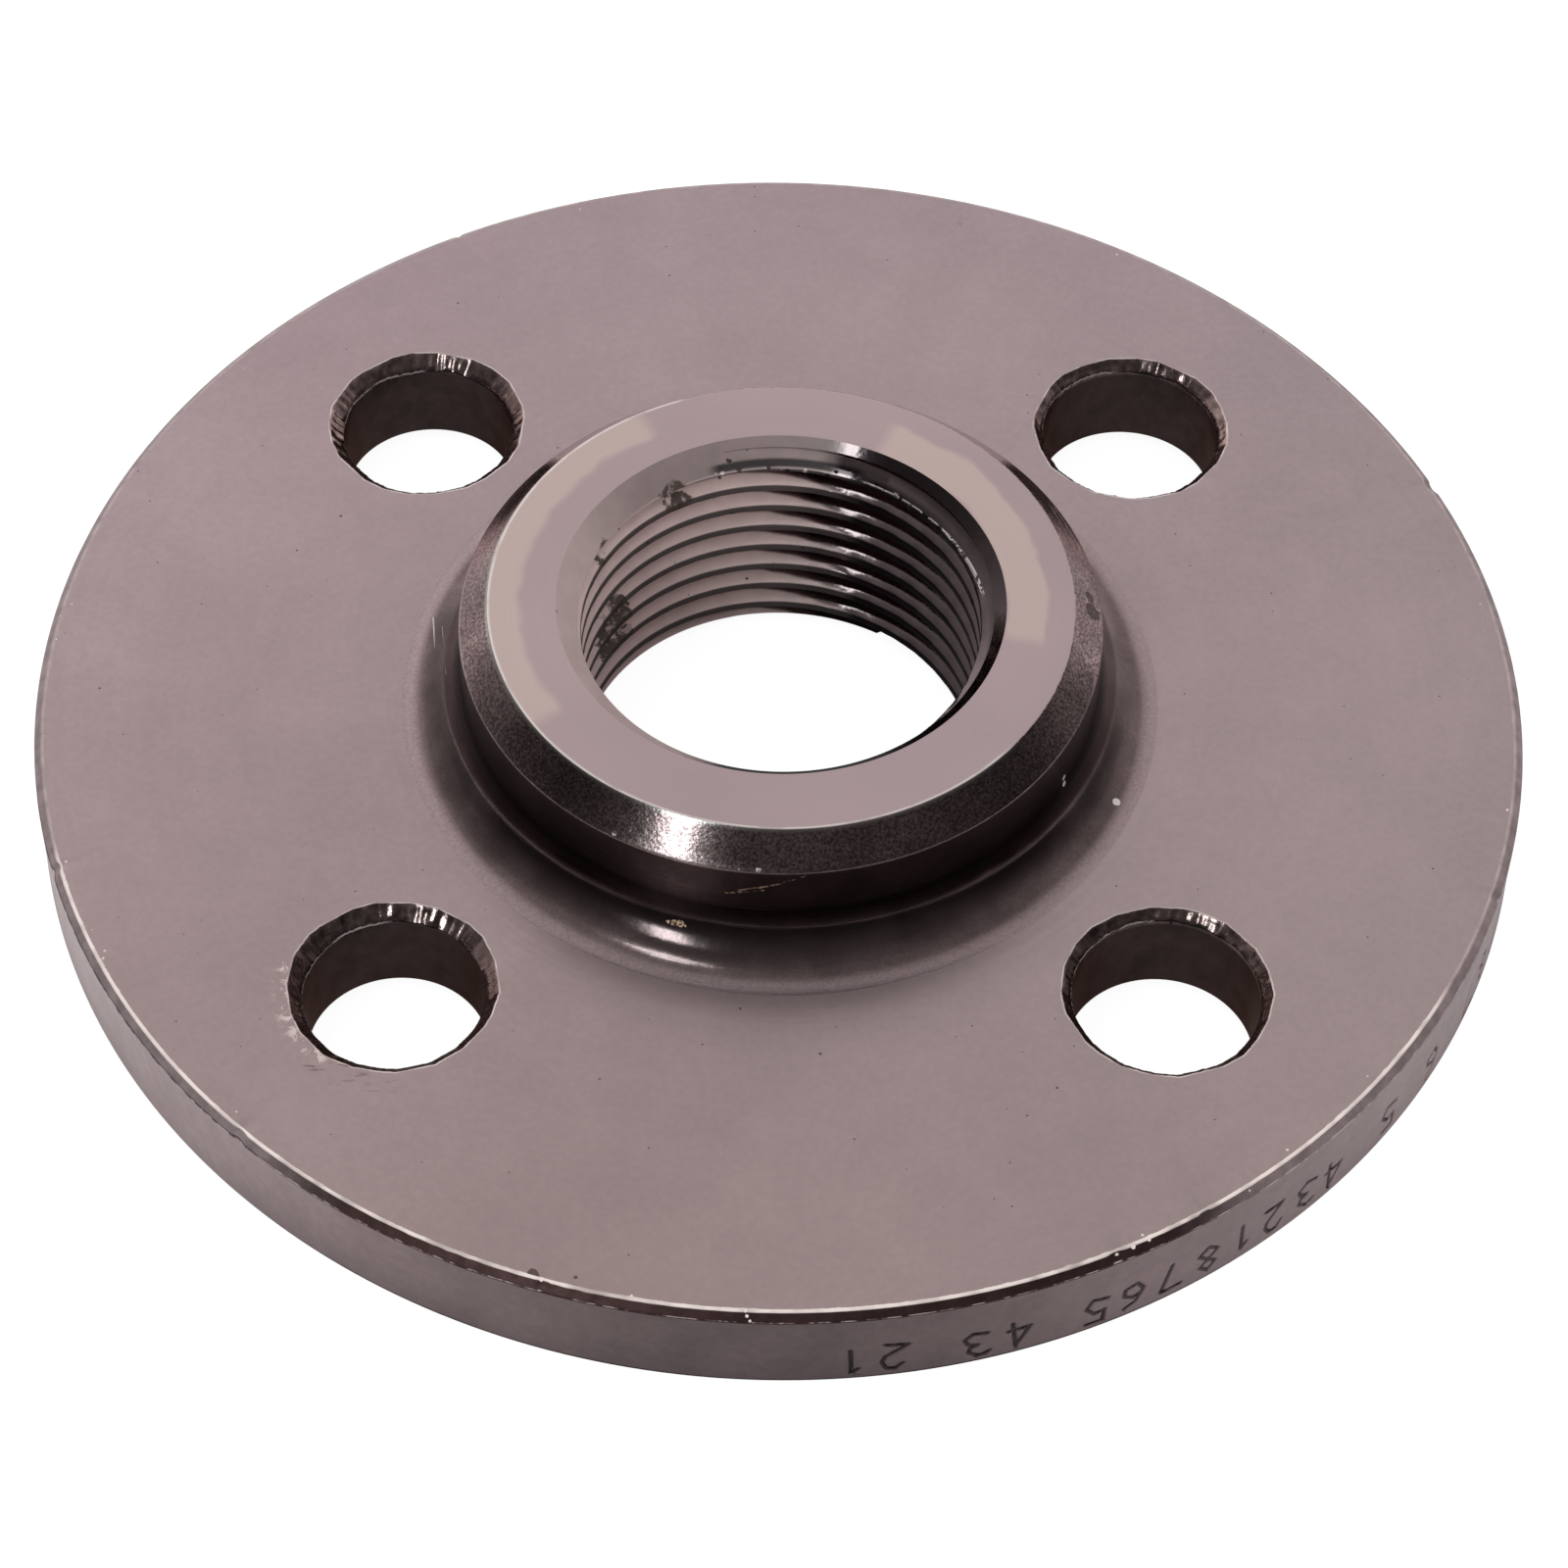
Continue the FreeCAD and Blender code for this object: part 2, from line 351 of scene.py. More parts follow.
def hole_surface(shell, index):
    """One bolt hole, its front edge broken by hand in uneven facets."""
    centre_angle = math.pi / HOLES + 2 * math.pi * index / HOLES
    centre = np.array([REACH * math.cos(centre_angle), REACH * math.sin(centre_angle)])
    angle = 2 * np.pi * np.arange(HOLE_COLUMNS) / HOLE_COLUMNS
    draw = np.random.default_rng(100 + index)

    # The edge is a string of short straight cuts of uneven length and depth.
    cuts = 22
    bounds = np.sort((np.arange(cuts) + draw.uniform(-0.3, 0.3, cuts)) * 2 * np.pi / cuts)
    reach = draw.uniform(-0.09, 0.08, cuts)
    ends = np.append(bounds, bounds[0] + 2 * np.pi)
    depths = np.append(reach, reach[0])
    turned_angle = bounds[0] + (angle - bounds[0]) % (2 * np.pi)
    slot = np.clip(np.searchsorted(ends, turned_angle, side="right") - 1, 0, cuts - 1)
    span = ends[slot + 1] - ends[slot]
    t = (turned_angle - ends[slot]) / span
    radius, leg, rough = HOLE_EDGES[index]
    base = radius + leg
    first = base + depths[slot]
    last = base + depths[slot + 1]
    edge = first * last * np.sin(span) / (first * np.sin(t * span) + last * np.sin((1 - t) * span))
    edge += 0.012 * draw.normal(size=HOLE_COLUMNS)
    lip = radius + 0.02 * np.sin(3 * angle + index) + 0.018 * draw.normal(size=HOLE_COLUMNS)
    depth = (edge - lip) * (1 + 0.05 * np.sin(2 * angle + 1.3 * index))
    depth += 0.02 * draw.normal(size=HOLE_COLUMNS)
    stripes = draw.normal(size=HOLE_COLUMNS)
    stripes = rough * (stripes + np.roll(stripes, 1))
    chatter = 0.012 * draw.normal(size=(2, HOLE_COLUMNS)) + stripes
    rings = [
        (edge + 0.10, FACE),
        (edge, FACE),
        (edge - 0.05, FACE - 0.035),
        (edge * 0.7 + lip * 0.3 + chatter[0], FACE - depth * 0.34),
        (edge * 0.35 + lip * 0.65 + chatter[1], FACE - depth * 0.68),
        (lip + 0.03, FACE - depth),
        (radius, FACE - depth - 0.15),
        (radius, FACE * 0.62),
        (radius, FACE * 0.3),
        (radius, HOLE_BACK + 0.1),
        (radius + 0.02, HOLE_BACK),
        (radius + HOLE_BACK - 0.03, 0.03),
        (radius + HOLE_BACK + 0.02, 0),
    ]
    rows = []
    for r, z in rings:
        x, y = centre[0] + r * np.cos(angle), centre[1] + r * np.sin(angle)
        rows.append(np.stack([x, y, z + 0 * angle], axis=1))
    paints = [HOLE_RIM] + [DRILLED] * (len(rows) - 3) + [BACK]
    paints[5] = HOLE_LIP
    shell.band(rows, paints)
    return rows[0], rows[-1]


# Rim: nicks along its front edge, as (angle in degrees, reach in mm, depth in mm).
NICKS = [
    (23.3, 1.3, 0.28), (-162.1, 0.9, 0.18), (-133.0, 1.1, 0.14), (-107.0, 0.9, 0.12),
    (-65.4, 1.2, 0.12), (-57.9, 1.0, 0.12), (-20.0, 0.8, 0.12), (118.0, 0.8, 0.15),
]


def edge_ripple(r, z, angle):
    """Small wear and nicks where the rim's front edge was knocked."""
    near = np.clip(1 - np.hypot(r - RIM + 0.3, z - FACE + 0.3), 0, 1)
    worn = 0.25 + np.exp(-((angle - math.radians(247)) / 0.3) ** 2)
    worn += 0.2 * np.exp(-((angle - math.radians(300)) / 0.15) ** 2)
    dip = 0.014 * worn * (wave(angle, 5, range(90, 290, 7)) + 1) * near
    for degrees, reach, depth in NICKS:
        away = (angle - math.radians(degrees) + np.pi) % (2 * np.pi) - np.pi
        along = away * RIM / reach
        dip += depth * near * np.exp(-(along * 2.2) ** 4)
    return r - dip * 0.8, z - dip * 0.7


def rim_surface(shell):
    """The disc's outer edge down to the wall, and the back edge; returns the joining rings."""
    outline = [
        (RIM - 2.2, FACE), (RIM - RIM_CHAMFER, FACE), (RIM, FACE - RIM_CHAMFER), (RIM, FACE - 1.3)
    ]
    profile = rounded(outline, [0.13, 0.13])
    rows = turned(profile, RIM_COLUMNS, edge_ripple)
    paints = [TURNED] + [EDGE] * (len(rows) - 3) + [WALL]
    shell.band(rows, paints)
    back_outline = [(RIM, 0.95), (RIM, RIM_CHAMFER), (RIM - RIM_CHAMFER, 0), (RIM - 2.2, 0)]
    back = rounded(back_outline, [0.13, 0.13])
    back_rows = turned(back, BACK_COLUMNS)
    shell.band(back_rows, [WALL] + [EDGE] * (len(back_rows) - 3) + [BACK])
    return rows[0], rows[-1], back_rows[0], back_rows[-1]


# Plain digits stamped upside-down in the wall, as strokes in a box one unit wide and high.
DIGITS = {
    "1": [[(0.25, 0.8), (0.55, 1), (0.55, 0)]],
    "2": [[(0.05, 0.8), (0.3, 1), (0.75, 1), (0.95, 0.75), (0.85, 0.5), (0, 0), (1, 0)]],
    "3": [[(0, 0.9), (0.45, 1), (0.9, 0.8), (0.8, 0.58), (0.45, 0.52), (0.9, 0.42), (1, 0.2),
           (0.6, 0), (0, 0.1)]],
    "4": [[(0.75, 0), (0.75, 1), (0, 0.3), (1, 0.3)]],
    "5": [[(0.9, 1), (0.15, 1), (0.1, 0.55), (0.6, 0.62), (0.98, 0.35), (0.7, 0.02), (0, 0.1)]],
    "6": [[(0.85, 0.95), (0.3, 0.75), (0.02, 0.3), (0.4, 0), (0.9, 0.12), (0.92, 0.42),
           (0.5, 0.55), (0.06, 0.4)]],
    "7": [[(0, 1), (1, 1), (0.35, 0)]],
    "8": [[(0.5, 0.53), (0.1, 0.75), (0.5, 1), (0.9, 0.75), (0.5, 0.53), (0.02, 0.25), (0.5, 0),
           (0.98, 0.25), (0.5, 0.53)]],
}
STAMP_GROUPS = [
    ("12", -85.0), ("34", -75.7), ("56781234", -66.8), ("5", -38.5), ("6", -32.2), ("781", -25.3)
]
STAMP_STEP = 3.12
STAMP_HIGH = 3.0
STAMP_WIDE = 1.75
STAMP_MIDDLE = 2.75
STAMP_DEPTH = 0.20
STAMP_STROKE = 0.17


def stamped_strokes():
    """Strokes of every stamped digit, in wall coordinates (length round the rim, height)."""
    draw = np.random.default_rng(31)
    strokes = []
    for text, start in STAMP_GROUPS:
        for place, digit in enumerate(text):
            middle = math.radians(start + place * STAMP_STEP) * RIM + draw.uniform(-0.15, 0.15)
            lift = STAMP_MIDDLE + draw.uniform(-0.25, 0.25)
            tilt = draw.uniform(-0.12, 0.12)
            for stroke in DIGITS[digit]:
                line = np.array(stroke, float) - 0.5
                x = -line[:, 0] * STAMP_WIDE
                y = -line[:, 1] * STAMP_HIGH
                strokes.append(np.stack([
                    middle + x * math.cos(tilt) - y * math.sin(tilt),
                    lift + x * math.sin(tilt) + y * math.cos(tilt),
                ], axis=1))
    return strokes


def stroke_distance(points, strokes):
    """Distance from each point to the nearest stroke."""
    nearest = np.full(len(points), 1e3)
    for stroke in strokes:
        box_low, box_high = stroke.min(axis=0) - 1.0, stroke.max(axis=0) + 1.0
        close = np.all((points > box_low) & (points < box_high), axis=1)
        if not close.any():
            continue
        spots = points[close]
        best = nearest[close]
        for start, end in zip(stroke, stroke[1:]):
            along = end - start
            t = np.clip((spots - start) @ along / (along @ along), 0, 1)
            gap = np.linalg.norm(spots - start - t[:, None] * along, axis=1)
            best = np.minimum(best, gap)
        nearest[close] = best
    return nearest


def wall_surface(shell, top_ring, bottom_ring):
    """The rim's wall between its two edges, with the stamped digits pressed into it."""
    seam = math.pi / 2
    strokes = stamped_strokes()

    def unroll(ring):
        angle = np.arctan2(ring[:, 1], ring[:, 0])
        angle = (angle - seam) % (2 * np.pi)
        order = np.argsort(angle)
        line = np.stack([angle[order] * RIM, ring[order][:, 2]], axis=1)
        return np.vstack([line, [2 * np.pi * RIM, line[0, 1]]])

    upper, lower = unroll(top_ring), unroll(bottom_ring)
    upper[0, 0] = lower[0, 0] = 0.0
    side_steps = 8
    top, bottom = upper[0, 1], lower[0, 1]
    side = [bottom + (top - bottom) * k / side_steps for k in range(1, side_steps)]
    full = 2 * np.pi * RIM
    outline = [tuple(p) for p in lower] + [(full, z) for z in side]
    outline += [tuple(p) for p in upper[::-1]] + [(0.0, z) for z in side[::-1]]

    shifted = [stroke + [-seam * RIM, 0] for stroke in strokes]
    for stroke in shifted:
        stroke[:, 0] %= full
    fine = 0.14
    inner = []
    for stroke in shifted:
        x0, z0 = stroke.min(axis=0) - 0.6
        x1, z1 = stroke.max(axis=0) + 0.6
        zs = np.arange(max(z0, bottom + 0.1), min(z1, top - 0.1), fine)
        grid = np.stack(np.meshgrid(np.arange(x0, x1, fine), zs), axis=2).reshape(-1, 2)
        inner.append(grid[stroke_distance(grid, [stroke]) < 0.5])
    coarse_x = np.arange(0.7, full - 0.5, 1.1)
    coarse_z = np.linspace(bottom, top, side_steps + 1)[1:-1]
    grid = np.stack(np.meshgrid(coarse_x, coarse_z), axis=2).reshape(-1, 2)
    inner.append(grid[stroke_distance(grid, shifted) > 0.55])
    inner = np.vstack(inner)

    def place(spots):
        angle = spots[:, 0] / RIM + seam
        gap = stroke_distance(spots, shifted)
        press = STAMP_DEPTH * np.exp(-(gap / STAMP_STROKE) ** 2)
        swell = 0.03 * np.exp(-((gap - 0.38) / 0.13) ** 2)
        on_edge = (spots[:, 1] > top - 0.02) | (spots[:, 1] < bottom + 0.02)
        r = np.where(on_edge, RIM, RIM - 0.035 + (swell - press))
        return np.stack([r * np.cos(angle), r * np.sin(angle), spots[:, 1]], axis=1)

    shell.sheet([outline], inner, place, WALL)


def flat_surface(shell, loops, height, paint, spacing):
    """A flat ring: the first loop is its outside, and the others are openings in it."""
    outer = loops[0]
    reach = np.hypot(outer[:, 0], outer[:, 1]).mean() - spacing * 0.7
    draw = np.random.default_rng(int(height * 10) + 3)
    inner = []
    for radius in np.arange(spacing, reach, spacing):
        count = int(2 * np.pi * radius / spacing)
        turn = 2 * np.pi * (np.arange(count) + draw.uniform()) / count
        inner.append(np.stack([radius * np.cos(turn), radius * np.sin(turn)], axis=1))
    inner = np.vstack(inner)
    for loop in loops[1:]:
        middle = loop[:, :2].mean(axis=0)
        loop_reach = np.linalg.norm(loop[:, :2] - middle, axis=1).max() + spacing * 0.6
        inner = inner[np.linalg.norm(inner - middle, axis=1) > loop_reach]
    flat_loops = [[tuple(p) for p in loop[:, :2]] for loop in loops]

    def place(spots):
        return np.column_stack([spots, np.full(len(spots), height)])

    shell.sheet(flat_loops, [tuple(p) for p in inner], place, paint)


def build_flange():
    """Make the flange's mesh as one closed shell."""
    shell = Shell()
    back_ring, mouth_ring = bore_surface(shell)
    foot_ring = hub_surface(shell, mouth_ring)
    fronts, backs = zip(*[hole_surface(shell, index) for index in range(HOLES)])
    face_ring, wall_top, wall_bottom, back_outer = rim_surface(shell)
    wall_surface(shell, wall_top, wall_bottom)
    flat_surface(shell, [face_ring, foot_ring, *fronts], FACE, TURNED, 2.4)
    flat_surface(shell, [back_outer, back_ring, *backs], 0.0, BACK, 3.2)

    mesh = bpy.data.meshes.new("flange")
    points = np.vstack(shell.points) * MM
    mesh.from_pydata(points.tolist(), [], shell.faces)
    mesh.polygons.foreach_set("material_index", shell.paints)
    edit = bmesh.new()
    edit.from_mesh(mesh)
    bmesh.ops.remove_doubles(edit, verts=edit.verts, dist=0.002 * MM)
    bmesh.ops.recalc_face_normals(edit, faces=edit.faces)
    edit.to_mesh(mesh)
    open_edges = sum(1 for edge in edit.edges if len(edge.link_faces) != 2)
    triangles = sum(len(face.verts) - 2 for face in edit.faces)
    print("flange mesh:", len(edit.verts), "points,", open_edges, "open edges,",
          triangles, "triangles")
    edit.free()
    for polygon in mesh.polygons:
        polygon.use_smooth = True
    mesh.set_sharp_from_angle(angle=math.radians(38))
    flange = bpy.data.objects.new("flange", mesh)
    bpy.context.scene.collection.objects.link(flange)
    return flange


def both_ways(operation):
    """An operator's two methods, for a value on its left and for one on its right."""
    def left(self, other):
        return self.nodes.math(operation, self, other)

    def right(self, other):
        return self.nodes.math(operation, other, self)

    return left, right


class Value:
    """A node's output, for plain arithmetic; a | b is the larger of the two."""

    __add__, __radd__ = both_ways("ADD")
    __sub__, __rsub__ = both_ways("SUBTRACT")
    __mul__, __rmul__ = both_ways("MULTIPLY")
    __or__, __ror__ = both_ways("MAXIMUM")

    def __init__(self, nodes, socket):
        self.nodes = nodes
        self.socket = socket

    def __abs__(self):
        return self.nodes.math("ABSOLUTE", self)

    def ramp(self, start, end, low_value=0.0, high_value=1.0):
        """Smoothly from low_value at start to high_value at end."""
        inputs = {0: self, 1: start, 2: end, 3: low_value, 4: high_value}
        return self.nodes.value("ShaderNodeMapRange", inputs, interpolation_type="SMOOTHSTEP")

    def strip(self, middle, half):
        """Mask of the values close to a middle value."""
        return abs(self - middle).ramp(half, half * 0.4)


class Nodes:
    """Short-hand for the node tree of a material or a world."""

    def __init__(self, owner):
        owner.use_nodes = True
        self.tree = owner.node_tree
        self.tree.nodes.clear()

    def node(self, kind, inputs=None, **settings):
        made = self.tree.nodes.new(kind)
        for key, value in settings.items():
            setattr(made, key, value)
        for key, value in (inputs or {}).items():
            if isinstance(value, Value):
                self.tree.links.new(value.socket, made.inputs[key])
            else:
                made.inputs[key].default_value = value
        return made

    def value(self, kind, inputs=None, output=0, **settings):
        return Value(self, self.node(kind, inputs, **settings).outputs[output])

    def math(self, operation, *values):
        return self.value("ShaderNodeMath", dict(enumerate(values)), operation=operation)

    def vectors(self, operation, first, second=None):
        """A step of vector arithmetic; SCALE has a number as its second value."""
        inputs = {0: first}
        if second is not None:
            inputs[3 if operation == "SCALE" else 1] = second
        output = "Value" if operation in ("DISTANCE", "DOT_PRODUCT", "LENGTH") else "Vector"
        return self.value("ShaderNodeVectorMath", inputs, output, operation=operation)

    def parts(self, vector):
        made = self.node("ShaderNodeSeparateXYZ", {0: vector})
        return [Value(self, output) for output in made.outputs]

    def graded(self, value, stops, unit=1.0):
        """A grey that follows a value along (place, level) stops; unit is the value's own."""
        first, last = stops[0][0], stops[-1][0]
        span = last - first
        share = self.math("MULTIPLY_ADD", value, unit / span, 0.0 - first / span)
        ramp = self.node("ShaderNodeValToRGB", {0: share})
        elements = ramp.color_ramp.elements
        while len(elements) < len(stops):
            elements.new(0.5)
        for element, (place, level) in zip(elements, stops):
            element.position = (place - first) / span
            element.color = (level, level, level, 1)
        return Value(self, ramp.outputs[0])


class Paint(Nodes):
    """A material of the part, with its places in millimetres."""

    def __init__(self, name):
        self.material = bpy.data.materials.new(name)
        super().__init__(self.material)
        spot = self.value("ShaderNodeTexCoord", output="Object")
        self.spot = self.vectors("SCALE", spot, 1 / MM)
        self.x, self.y, self.z = self.parts(self.spot)
        self.r = self.math("SQRT", self.x * self.x + self.y * self.y)
        self.angle = self.math("ARCTAN2", self.y, self.x)

    def vector(self, x, y, z):
        return self.value("ShaderNodeCombineXYZ", {0: x, 1: y, 2: z})

    def noise(self, scale, detail=2.0, rough=0.5, spot=None, distort=0.0):
        return self.value("ShaderNodeTexNoise", {
            "Vector": spot or self.spot, "Scale": scale, "Detail": detail,
            "Roughness": rough, "Distortion": distort,
        })

    def specks(self, scale, size, seed=0.0):
        """Small round spots of uneven size, as a mask."""
        moved = self.vectors("ADD", self.spot, (seed, seed, seed))
        cells = self.node("ShaderNodeTexVoronoi", {"Vector": moved, "Scale": scale})
        random = self.parts(Value(self, cells.outputs["Color"]))[0]
        wide = random.ramp(0.55, 1.0) * (size * scale)
        return self.math("LESS_THAN", Value(self, cells.outputs["Distance"]), wide)

    def sector(self, middle, half, angle=None):
        """Mask of a sector round the axis, by its middle and half width in degrees."""
        shifted = (angle or self.angle) + (3 * math.pi - math.radians(middle))
        away = self.math("MODULO", shifted, 2 * math.pi) - math.pi
        edge = math.radians(half)
        return abs(away).ramp(edge + 0.04, edge - 0.04)

    def blots(self, places, ragged=0.9):
        """Mask of ragged spots, given as (x, y, z, radius) in millimetres."""
        fray = (self.noise(1.4, 3.0) - 0.5) * ragged
        nearest = None
        for *place, reach in places:
            away = self.vectors("DISTANCE", self.spot, place) * (1 / reach)
            nearest = away if nearest is None else self.math("MINIMUM", nearest, away)
        return (nearest + fray).ramp(1.05, 0.85)

    def strokes(self, rows, spot=None):
        """Mask of thin straight scratches, given as (start, end, half width)."""
        total = None
        for start, end, wide in rows:
            along = Vector(end) - Vector(start)
            offset = self.vectors("SUBTRACT", spot or self.spot, start)
            share = self.vectors("DOT_PRODUCT", offset, along / along.length_squared)
            share = self.math("MINIMUM", share | 0.0, 1.0)
            away = self.vectors("DISTANCE", offset, self.vectors("SCALE", along, share))
            line = away.ramp(wide, wide * 0.3)
            total = line if total is None else total | line
        return total

    def about_hole(self):
        """Direction and distance from the axis of the nearest bolt hole."""
        reach = REACH * math.cos(math.pi / HOLES)
        x, y = [v - self.math("SIGN", v) * reach for v in (self.x, self.y)]
        return self.math("ARCTAN2", y, x), self.math("SQRT", x * x + y * y)

    def mix(self, share, first, second):
        """Blend two colours."""
        tones = [tone if isinstance(tone, Value) else (*tone, 1.0) for tone in (first, second)]
        inputs = {0: share, 6: tones[0], 7: tones[1]}
        return self.value("ShaderNodeMix", inputs, 2, data_type="RGBA")

    def marked(self, colour, *marks):
        """The colour with marks over it, each given as (mask, share, tone)."""
        for mask, share, tone in marks:
            colour = self.mix(mask * share, colour, tone)
        return colour

    def tone(self, colour, level):
        """Scale a colour by a level."""
        return self.vectors("SCALE", colour, level)

    def drift(self, colour):
        """The same colour, a little greyer to the right and browner to the front."""
        x, y = self.x * (1 / RIM), self.y * (1 / RIM)
        tint = self.vector(1.0, 1.0 + x * 0.022, 1.0 + x * 0.015 + y * 0.035)
        return self.vectors("MULTIPLY", colour, tint)

    def rings(self, density):
        """Fine marks that run round the axis, in the section's own length."""
        reach = self.r + self.z + self.noise(0.08, 1.0) * 0.15
        line = self.vector(reach * density, self.angle * 0.8, 0.0)
        return self.noise(1.0, 3.0, 0.6, spot=line)

    def rim_highlight_and_wear(self, where):
        """A painted highlight along the rim's top edge, with some wear in it, fullest at its front.
        """
        uneven = self.noise(0.35).ramp(0.3, 0.6, 0.6, 1.0)
        return where * uneven * (0.2 + self.sector(-97, 66) * 0.8)

    def finish(self, colour, roughness, bumps, metallic=1.0, tint=None):
        """Close the material; bumps are (height, depth in mm) pairs."""
        surface = {"Base Color": colour, "Roughness": roughness, "Metallic": metallic}
        for height, depth in bumps:
            inputs = {"Strength": 1.0, "Distance": depth * MM, "Height": height}
            if "Normal" in surface:
                inputs["Normal"] = surface["Normal"]
            surface["Normal"] = self.value("ShaderNodeBump", inputs)
        if tint:
            surface["Specular Tint"] = (*tint, 1.0)
        shader = self.value("ShaderNodeBsdfPrincipled", surface)
        self.node("ShaderNodeOutputMaterial", {0: shader}, is_active_output=True)
        return self.material


# Steel tones.
MAUVE = (0.475, 0.358, 0.367)
BEIGE = (0.720, 0.560, 0.510)
BROWN = (0.085, 0.060, 0.048)
BRIGHT = (0.92, 0.84, 0.80)
WARM = (0.500, 0.350, 0.335)
DARKENED = (0.490, 0.348, 0.348)
PALE_LIT_FILM = (0.800, 0.610, 0.590)
SOOT = (0.030, 0.024, 0.026)
RUSTY = (0.90, 0.60, 0.40)
OXIDE = (0.125, 0.065, 0.064)
CREAM = (0.98, 0.84, 0.79)
HOLE_SHEEN = (0.62, 0.46, 0.42)

# Marks of use, in millimetres: spots as (x, y, z, radius), scratches as (start, end, half width).
EDGE_CHIPS = [
    (24.1, -52.4, 8.6, 0.26), (25.2, -51.7, 8.6, 0.20), (26.4, -51.1, 8.6, 0.14),
    (30.6, -48.9, 8.7, 0.20), (33.9, -46.7, 8.5, 0.16), (-17.0, -54.8, 8.7, 0.18),
    (-2.5, -57.3, 8.6, 0.14), (-2.4, -57.6, 8.4, 0.13), (-2.2, -57.85, 8.15, 0.12),
]
# Dents at the rim's edge, where shade is painted dark.
EDGE_HOLLOWS = [(-17.6, -54.3, 8.7, 0.45), (-14.6, -54.6, 8.7, 0.16)]
HUB_CHIPS = [
    (-7.5, -24.4, 10.75, 0.36), (-7.9, -24.3, 10.70, 0.30), (-8.4, -24.2, 10.75, 0.20),
    (-7.1, -24.5, 10.65, 0.18),
]
HUB_DOTS = [(21.49, -12.28, 13.44, 0.26), (21.54, -12.31, 12.75, 0.26), (25.84, -10.97, 8.93, 0.35)]
HUB_STAINS = [(24.0, 0.3, 18.2, 0.8), (23.8, 1.7, 18.3, 0.5)]
TOE_SCRATCHES = [
    ((-27.4, 7.5, 8.85), (-26.9, 1.8, 9.3), 0.10),
    ((-26.6, 6.2, 9.2), (-26.0, 0.4, 10.2), 0.08),
]
# Scratches round the hub, by the length round its neck and the height.
NECK_SCRATCHES = [
    ((-43.0, 14.5, 0), (-40.2, 15.2, 0), 0.12), ((-42.0, 15.0, 0), (-38.8, 16.1, 0), 0.14),
    ((-40.6, 15.4, 0), (-37.1, 16.9, 0), 0.10),
]
NECK_CUTS = [((12.4, 17.7, 0), (7.3, 18.0, 0), 0.12), ((12.2, 18.2, 0), (7.6, 18.6, 0), 0.10)]
BORE_BLOTS = [
    (-8.5, 12.9, 17.4, 1.2), (-8.0, 13.2, 16.0, 1.0), (-7.6, 13.4, 14.9, 0.4),
    (-13.8, 6.8, 17.2, 1.0), (-13.5, 7.3, 15.5, 0.7), (-12.8, 8.5, 9.6, 1.2),
    (-13.6, 7.2, 8.0, 1.6), (-12.4, 9.1, 7.2, 1.4), (-14.3, 5.8, 10.9, 0.8),
    (-13.4, 7.6, 5.8, 1.5), (-12.2, 9.4, 4.6, 1.0), (-10.4, 11.3, 8.0, 0.4),
]
BORE_DOTS = [
    (-8.1, 13.1, 14.5, 0.28), (-12.0, 9.6, 14.9, 0.28), (-10.6, 11.2, 8.2, 0.30),
    (-3.8, 14.9, 13.0, 0.28), (-13.9, 6.6, 15.5, 0.28), (-7.4, 13.6, 5.6, 0.28),
]
BORE_SPARKS = [(-15.9, 0.6, 18.2, 1.1), (-4.3, 15.4, 18.2, 0.6)]


def turned_face(paint):
    cloud = paint.noise(0.035, 3.0, 0.5).ramp(0.3, 0.7, 0.95, 1.04)
    patch = paint.noise(0.16, 3.0, 0.6, distort=0.4).ramp(0.3, 0.75, 0.97, 1.03)
    grain = paint.noise(1.8).ramp(0.25, 0.75, 0.97, 1.03)
    colour = paint.tone(paint.drift(MAUVE), cloud * patch * grain)
    pits = paint.specks(0.34, 0.12) | paint.specks(0.8, 0.08, 2.0)
    # The rim's top edge: a painted highlight, with some wear in it, which goes into bright.
    worn = paint.rim_highlight_and_wear((paint.r + paint.noise(1.2) * 0.3).ramp(RIM - 0.68, RIM - 0.58))
    near_edge = paint.r.ramp(RIM - 2.0, RIM - 0.9) * paint.specks(1.1, 0.11, 5.0)
    # The front left hole's edge is scuffed pale on one side, and scratched dark beside that.
    worn_hole = paint.x.ramp(-18.0, -20.0) * paint.y.ramp(-18.0, -20.0)
    around, away = paint.about_hole()
    frayed = paint.noise(1.3, 4.0, 0.65, distort=0.8).ramp(0.52, 0.60)
    close = worn_hole * away.ramp(HOLE + 2.4, HOLE + 1.2)
    scuffs = close * frayed * paint.sector(200, 36, around)
    chips = paint.blots(EDGE_CHIPS, 1.8) | scuffs * 0.6
    bright = worn | near_edge | chips
    brushed = paint.vector(paint.x * 0.6, paint.y * 3.0, 0.0)
    dirt_and_shade = paint.noise(1.0, 3.0, 0.6, spot=brushed).ramp(0.56, 0.66)
    near = worn_hole * away.ramp(HOLE + 3.2, HOLE + 2.4)
    dirt_and_shade = near * (dirt_and_shade * 0.45) * paint.sector(250, 24, around)
    # Dirt beside the hole, and painted shade in the dents at the rim's edge.
    dirt_and_shade = dirt_and_shade | paint.blots(EDGE_HOLLOWS) * 0.8
    colour = paint.marked(colour, (pits, 0.75, SOOT), (bright, 0.9, CREAM))
    colour = paint.mix(dirt_and_shade, colour, BROWN)
    rings = paint.rings(3.0)
    return paint.finish(colour, rings.ramp(0.2, 0.8, 0.27, 0.36), [
        (rings, 0.0022), (paint.noise(1.3, 3.0), 0.004), (paint.noise(0.12), 0.02),
    ], bright.ramp(0.0, 1.0, 0.8, 0.1))


